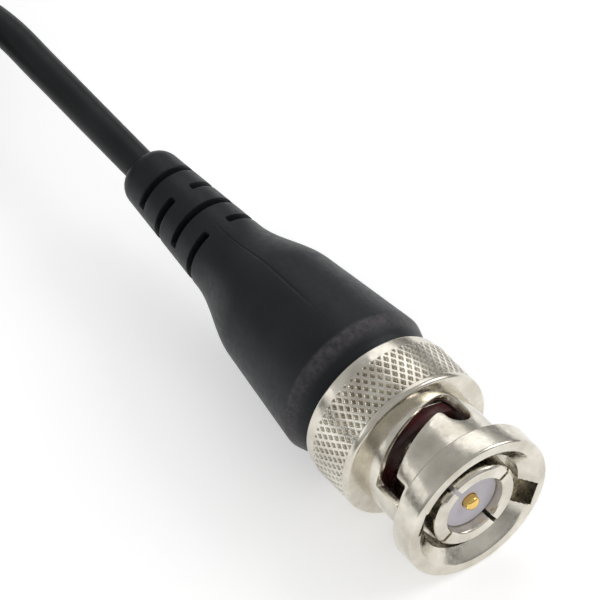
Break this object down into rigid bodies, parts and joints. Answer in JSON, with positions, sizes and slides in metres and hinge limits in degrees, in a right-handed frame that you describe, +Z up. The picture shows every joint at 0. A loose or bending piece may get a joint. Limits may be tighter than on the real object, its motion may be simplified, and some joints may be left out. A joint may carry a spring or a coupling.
{
  "type": "oscilloscope probe",
  "caption": "Oscilloscope probe: bayonet coaxial plug with moulded boot, thin lead in a tied hank, and a hook-tip probe head with attenuation switch.",
  "frame": {"origin": "on the table, under the middle of the plug from its mouth to the end of its boot", "axes": "+Z up from the table; +Y along the plug from its mouth towards the lead; +X to the right of someone who looks along +Y"},
  "size_m": [0.0361, 0.2077, 0.0225],
  "materials": {
    "nickel": "bright nickel plate, faintly warm",
    "spring_steel": "plain spring steel",
    "gasket_rubber": "dark red silicone, matt",
    "white_insulator": "white fluoropolymer, waxy",
    "gold": "gold plate, polished",
    "copper": "bare copper wire",
    "cable_core": "natural foamed polyethylene",
    "tinned_braid": "tinned copper braid",
    "inner_mould": "moulded filler",
    "boot": "black moulded PVC, satin",
    "cable": "black PVC jacket, satin",
    "strap": "woven hook-and-loop strap",
    "handle": "fine textured moulding",
    "board": "solder-masked glass epoxy",
    "ceramic": "unglazed ceramic",
    "resistor": "lacquered resistor body",
    "needle": "gold-plated beryllium copper",
    "carrier": "filled nylon",
    "sheath": "nylon, satin",
    "switch": "grey acetal",
    "trimmer_brass": "brass rotor"
  },
  "bodies": {
    "plug": {"plug_body": "nickel", "wave_washers": "spring_steel", "gasket": "gasket_rubber", "insulator": "white_insulator", "rear_insulator": "white_insulator", "centre_pin": "gold", "inner_conductor": "copper", "dielectric": "cable_core", "braid": "tinned_braid", "crimp_ferrule": "nickel", "inner_mould": "inner_mould", "boot": "boot", "cable": "cable", "cable_hank": "cable", "head_lead": "cable", "hank_strap": "strap", "head_strain_relief": "boot", "handle_top": "handle", "handle_bottom": "handle", "head_board": "board", "head_wires": "copper", "trimmer_base": "ceramic", "tip_resistor": "resistor", "finger_guard": "handle", "ground_sleeve": "nickel", "ground_ring": "nickel", "tip_insulator": "white_insulator", "probe_tip": "needle", "hook_carrier": "carrier", "hook_wire": "spring_steel", "sheath_spring": "spring_steel"},
    "pull_washer": {"thrust_washer": "spring_steel"},
    "nut": {"coupling_nut": "nickel", "snap_ring": "spring_steel"},
    "hook_cover": {"hook_sheath": "sheath"},
    "switch": {"switch_slider": "switch"},
    "trimmer": {"trimmer_rotor": "trimmer_brass"}
  },
  "joints": [
    {"name": "nut_pull", "type": "slide", "parent": "plug", "child": "pull_washer", "axis": [0, -1, 0], "range_m": [0, 0.0008], "stiffness_N_per_m": 3000, "springref_m": -0.0006, "deforming": ["wave_washers"]},
    {"name": "nut_spin", "type": "hinge", "parent": "pull_washer", "child": "nut", "pos_m": [0, -0.01655, 0.00725], "axis": [0, 1, 0], "continuous": true},
    {"name": "sheath_pull", "type": "slide", "parent": "plug", "child": "hook_cover", "axis": [0, -1, 0], "range_m": [0, 0.006], "stiffness_N_per_m": 150, "springref_m": -0.004, "deforming": ["sheath_spring"]},
    {"name": "attenuation_slide", "type": "slide", "parent": "plug", "child": "switch", "axis": [0, 1, 0], "range_m": [0, 0.0026]},
    {"name": "trimmer_turn", "type": "hinge", "parent": "plug", "child": "trimmer", "pos_m": [-0.00295, 0.105, 0.0145], "axis": [0, 0, 1], "continuous": true}
  ]
}
